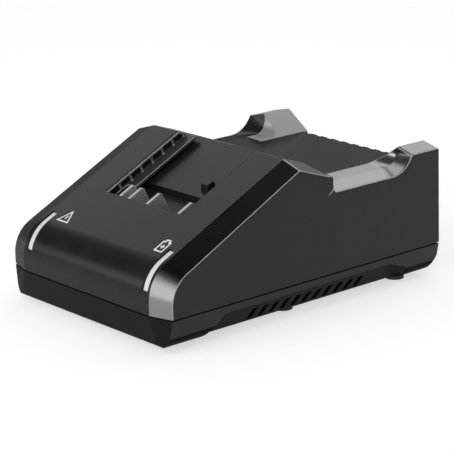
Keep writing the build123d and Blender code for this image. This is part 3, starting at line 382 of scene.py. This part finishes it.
FINISHES = {
    "upper_housing": housing_plastic("upper_housing", grey(0.010), 0.28, 0.25),
    "lower_housing": housing_plastic("lower_housing", grey(0.007), 0.3, 0.42, dull_ends=True),
    "metallic_trim": metallic_lacquer("metallic_trim", grey(0.22), 0.2),
    "light_guide": milky_guide("light_guide"),
    "rail_plastic": rail_plastic("rail_plastic", grey(0.03), 0.35),
    "carrier_plastic": moulded_plastic("carrier_plastic", grey(0.012), 0.4),
    "contact_metal": plated_metal(
        "contact_metal", grey(0.6), 0.45, painted_highlight_edge=1.0 * MM, metallic=0.6
    ),
    "rubber": moulded_plastic("rubber", grey(0.018), 0.7, texture=0.05 * MM),
    "steel": plated_metal("steel", grey(0.5), 0.35),
    "board": moulded_plastic("board", (0.02, 0.12, 0.04, 1), 0.35),
    "led": milky_guide("led"),
    "ferrite": moulded_plastic("ferrite", grey(0.05), 0.6),
    "copper": plated_metal("copper", (0.6, 0.22, 0.07, 1), 0.3),
    "can_sleeve": moulded_plastic("can_sleeve", (0.02, 0.03, 0.12, 1), 0.25),
    "epoxy": moulded_plastic("epoxy", (0.5, 0.36, 0.08, 1), 0.35),
    "fuse_glass": moulded_plastic("fuse_glass", grey(0.6), 0.3),
    "varistor_coat": moulded_plastic("varistor_coat", (0.04, 0.13, 0.36, 1), 0.35),
    "epoxy_black": moulded_plastic("epoxy_black", grey(0.015), 0.5),
    "heat_sink": plated_metal("heat_sink", grey(0.55), 0.4),
    "terminal_plastic": moulded_plastic("terminal_plastic", (0.03, 0.16, 0.08, 1), 0.4),
}

# Nodes whose finish differs from that of their slot.
OWN_FINISHES = {
    # The left front trim is a dark copy in place of the grey metallic lacquer of the right one:
    # painted shade.
    "front_trim_left": housing_plastic("painted_shade_left_trim", grey(0.028), 0.25, 0.25),
    # The right rail is a darker copy of the left rail's plastic without the pale edges: painted
    # shade.
    "guide_rail_right": moulded_plastic("painted_shade_rail", grey(0.012), 0.55),
    # The left horn's trim is a lighter, rougher, less metallic copy of the right one's lacquer,
    # which is painted light, and it has painted shade on its outer front.
    "rear_trim_left": metallic_lacquer(
        "left_horn_trim_painted_light_and_shade", grey(0.36), 0.45, edge=0.6 * MM, metallic=0.6, painted_shade_front=True
    ),
    "rear_trim_right": metallic_lacquer("right_horn_trim", grey(0.26), 0.21, edge=1.5 * MM),
}

WHITE_PRINT = moulded_plastic("white_print", grey(0.75), 0.4)


def dress_cad_nodes():
    slots = {s["node"]: s["material_slot"] for s in frame["record"]["subparts"]}
    for name, node in frame["nodes"].items():
        node.data.materials.clear()
        node.data.materials.append(OWN_FINISHES.get(name, FINISHES[slots[name]]))


# ---- Signs printed beside the lights ----

PRINT_THICKNESS = 0.03 * MM
PRINT_LIFT = 0.01 * MM
PRINT_STROKE = 0.88 * MM
FAULT_SIGN_X = -35.2 * MM
FAULT_SIGN_LOW = -53.6 * MM
FAULT_SIGN_WIDTH = 9.5 * MM
FAULT_SIGN_HEIGHT = 9.0 * MM
FAULT_BAR_MIDDLE = 0.4
BATTERY_SIGN_X = 39.0 * MM
BATTERY_SIGN_LOW = -52.4 * MM
BATTERY_SIGN_WIDTH = 6.0 * MM
BATTERY_SIGN_HEIGHT = 7.6 * MM
BATTERY_NUB_WIDTH = 3.4 * MM
BATTERY_NUB_HEIGHT = 1.4 * MM
SIGN_BAR_LENGTH = 2.6 * MM


def on_ramp():
    """The ramp's own frame: across, up the slope and outwards, from the mount's point."""
    across = Vector((1, 0, 0))
    turn = Matrix((across, RAMP_UP, RAMP_OUT)).transposed().to_4x4()
    return Matrix.Translation(RAMP_POINT + RAMP_OUT * PRINT_LIFT) @ turn


def print_piece(name, outline, hollow):
    """A thin printed shape on the ramp. A hollow one keeps only a stroke along its outline."""
    bpy.ops.object.select_all(action="DESELECT")
    bpy.ops.mesh.primitive_circle_add(vertices=len(outline), radius=1, fill_type="NGON")
    piece = bpy.context.object
    piece.name = name
    for vertex, (across, up) in zip(piece.data.vertices, outline):
        vertex.co = (across, up, 0)
    bpy.ops.object.mode_set(mode="EDIT")
    bpy.ops.mesh.select_all(action="SELECT")
    bpy.ops.mesh.normals_make_consistent(inside=False)
    if hollow:
        bpy.ops.mesh.inset(thickness=PRINT_STROKE, use_even_offset=True)
        bpy.ops.mesh.delete(type="ONLY_FACE")
        bpy.ops.mesh.select_all(action="SELECT")
    lift = {"value": (0, 0, PRINT_THICKNESS)}
    bpy.ops.mesh.extrude_region_move(TRANSFORM_OT_translate=lift)
    bpy.ops.mesh.select_all(action="SELECT")
    bpy.ops.mesh.normals_make_consistent(inside=False)
    bpy.ops.object.mode_set(mode="OBJECT")
    piece.data.transform(on_ramp())
    piece.data.materials.append(WHITE_PRINT)
    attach(piece, "root")


def bar(x, y, width, height):
    """The outline of an upright bar about its middle."""
    return [
        (x + width / 2, y - height / 2),
        (x + width / 2, y + height / 2),
        (x - width / 2, y + height / 2),
        (x - width / 2, y - height / 2),
    ]


def add_fault_sign():
    """An outlined triangle with a plain bar, beside the left light."""
    x = FAULT_SIGN_X
    low = FAULT_SIGN_LOW
    outline = [
        (x + FAULT_SIGN_WIDTH / 2, low),
        (x, low + FAULT_SIGN_HEIGHT),
        (x - FAULT_SIGN_WIDTH / 2, low),
    ]
    print_piece("fault_sign", outline, hollow=True)
    middle = low + FAULT_SIGN_HEIGHT * FAULT_BAR_MIDDLE
    print_piece("fault_sign_bar", bar(x, middle, PRINT_STROKE, SIGN_BAR_LENGTH), hollow=False)


def add_battery_sign():
    """An outlined battery with a plain plus, beside the right light."""
    x = BATTERY_SIGN_X
    low = BATTERY_SIGN_LOW
    high = low + BATTERY_SIGN_HEIGHT
    half = BATTERY_SIGN_WIDTH / 2
    nub = BATTERY_NUB_WIDTH / 2
    outline = [
        (x + half, low),
        (x + half, high),
        (x + nub, high),
        (x + nub, high + BATTERY_NUB_HEIGHT),
        (x - nub, high + BATTERY_NUB_HEIGHT),
        (x - nub, high),
        (x - half, high),
        (x - half, low),
    ]
    print_piece("battery_sign", outline, hollow=True)
    middle = (low + high) / 2
    flat = bar(x, middle, SIGN_BAR_LENGTH, PRINT_STROKE)
    upright = bar(x, middle, PRINT_STROKE, SIGN_BAR_LENGTH)
    print_piece("battery_sign_plus_flat", flat, hollow=False)
    print_piece("battery_sign_plus_upright", upright, hollow=False)


# ---- Camera, with its angles in degrees ----

CAMERA_PLACE = Vector((747.63, -647.79, 324.75)) * MM
CAMERA_AZIMUTH = 49.075
CAMERA_ELEVATION = 16.504
CAMERA_ROLL = -1.0155
CAMERA_LENS = 158.84
CAMERA_SENSOR = 36
CAMERA_CLIP = 0.01


def add_camera():
    azimuth = math.radians(CAMERA_AZIMUTH)
    elevation = math.radians(CAMERA_ELEVATION)
    roll = math.radians(CAMERA_ROLL)
    ahead = Vector(
        (
            -math.sin(azimuth) * math.cos(elevation),
            math.cos(azimuth) * math.cos(elevation),
            -math.sin(elevation),
        )
    )
    level = Vector((math.cos(azimuth), math.sin(azimuth), 0))
    upright = level.cross(ahead)
    right = math.cos(roll) * level + math.sin(roll) * upright
    up = -math.sin(roll) * level + math.cos(roll) * upright
    data = bpy.data.cameras.new("camera")
    data.lens = CAMERA_LENS
    data.sensor_width = CAMERA_SENSOR
    data.clip_start = CAMERA_CLIP
    camera = bpy.data.objects.new("camera", data)
    camera.matrix_world = Matrix(
        (
            (right.x, up.x, -ahead.x, CAMERA_PLACE.x),
            (right.y, up.y, -ahead.y, CAMERA_PLACE.y),
            (right.z, up.z, -ahead.z, CAMERA_PLACE.z),
            (0, 0, 0, 1),
        )
    )
    bpy.context.scene.collection.objects.link(camera)
    bpy.context.scene.camera = camera


# ---- Studio, in metres ----

FLOOR_RADIUS = 6
FLOOR_SIDES = 64
FLOOR_COLOUR = grey(0.55)
FLOOR_GLOW = 0.6

LAMP_SIZE = 1.6
LAMP_POWER = 6.0
LAMP_PLACE = (0.2, -0.2, 1.5)

# The lights on the room's walls, in degrees across and up: where each one starts and is full,
# and where it fades and is gone.
REAR_WINDOW_ACROSS = (-35, -20, 82, 98)
REAR_WINDOW_UP = (11, 15, 50, 64)
FRONT_WINDOW_ACROSS = (-75, -55, 30, 45)
FRONT_WINDOW_UP = (-10, 0, 26, 56)
FRONT_STRIP_ACROSS = (25, 35, 46, 56)
FRONT_STRIP_UP = (0, 8, 14, 24)

# The rear window's upper left corner is shaded where its angle up plus a share of its angle
# across passes these degrees.
CORNER_SLANT = 0.6
CORNER_FADE = (86, 93)
CORNER_SHADE = 0.95

CEILING_START = (55, 65)
SKYLIGHT_UP = (66, 74)
SKYLIGHT_BACK = (0.1, 0.2)

REAR_WINDOW_LIGHT = 1.07
FRONT_WINDOW_LIGHT = 2.0
FRONT_STRIP_LIGHT = 2.6
WALL_LIGHT = 0.1
CEILING_LIGHT = 0.01


def add_floor():
    bpy.ops.mesh.primitive_circle_add(
        vertices=FLOOR_SIDES, radius=FLOOR_RADIUS, fill_type="NGON"
    )
    floor = bpy.context.object
    floor.name = "floor"
    tree = new_finish("floor")
    diffuse = tree.node("ShaderNodeBsdfDiffuse", None, Color=FLOOR_COLOUR)
    glow = tree.node("ShaderNodeEmission", None, Color=grey(1.0), Strength=FLOOR_GLOW)
    both = tree.node("ShaderNodeAddShader", None, diffuse, glow)
    path = tree.node("ShaderNodeLightPath").socket.node
    seen = Value(tree, path.outputs["Is Camera Ray"])
    for ray in ("Is Glossy Ray", "Is Transmission Ray"):
        seen = seen.math("MAXIMUM", Value(tree, path.outputs[ray]))
    floor.data.materials.append(tree.finish(tree.mix_shaders(seen, diffuse, both)))


def rise(angle, start, end):
    """0 to 1 as an angle passes from start to end, in degrees."""
    return angle.step(math.radians(start), math.radians(end))


def between(angle, start, full, fade, gone):
    """1 from full to fade and 0 beyond start and gone, in degrees."""
    return rise(angle, start, full) * (1 - rise(angle, fade, gone))


def add_world():
    """A dark room with soft lights on its walls and above.

    There is a large window behind, with a shaded corner, another window in front, a low bright
    strip at the front left, and a skylight in the back half of a dark ceiling.
    """
    world = bpy.data.worlds.new("studio")
    bpy.context.scene.world = world
    tree = Tree(world)
    direction = tree.node("ShaderNodeTexCoord")
    x, y, z = (part(direction, axis) for axis in range(3))
    up = z.math("ARCSINE")
    across_rear = (0 - x).math("ARCTAN2", y)
    across_front = (0 - x).math("ARCTAN2", 0 - y)

    rear = between(across_rear, *REAR_WINDOW_ACROSS) * between(up, *REAR_WINDOW_UP)
    rear = rear * (1 - rise(up + across_rear * CORNER_SLANT, *CORNER_FADE) * CORNER_SHADE)
    front = between(across_front, *FRONT_WINDOW_ACROSS) * between(up, *FRONT_WINDOW_UP)
    strip = between(across_front, *FRONT_STRIP_ACROSS) * between(up, *FRONT_STRIP_UP)
    skylight = y.step(*SKYLIGHT_BACK) * rise(up, *SKYLIGHT_UP)
    walls = 1 - rise(up, *CEILING_START)

    level = rear * REAR_WINDOW_LIGHT + front * FRONT_WINDOW_LIGHT
    level = level + strip * FRONT_STRIP_LIGHT + skylight
    level = level + walls * WALL_LIGHT + CEILING_LIGHT
    shade = tree.node("ShaderNodeBackground", None, Color=grey(1.0), Strength=level)
    tree.finish(shade, "ShaderNodeOutputWorld")


def add_top_lamp():
    """A broad soft lamp overhead, which doesn't show in reflections."""
    data = bpy.data.lights.new("top_lamp", "AREA")
    data.shape = "DISK"
    data.size = LAMP_SIZE
    data.energy = LAMP_POWER
    lamp = bpy.data.objects.new("top_lamp", data)
    lamp.location = LAMP_PLACE
    lamp.visible_glossy = False
    bpy.context.scene.collection.objects.link(lamp)


def main():
    dress_cad_nodes()
    add_fault_sign()
    add_battery_sign()
    add_camera()
    add_floor()
    add_world()
    add_top_lamp()
    bpy.context.scene.view_settings.view_transform = "Standard"


main()
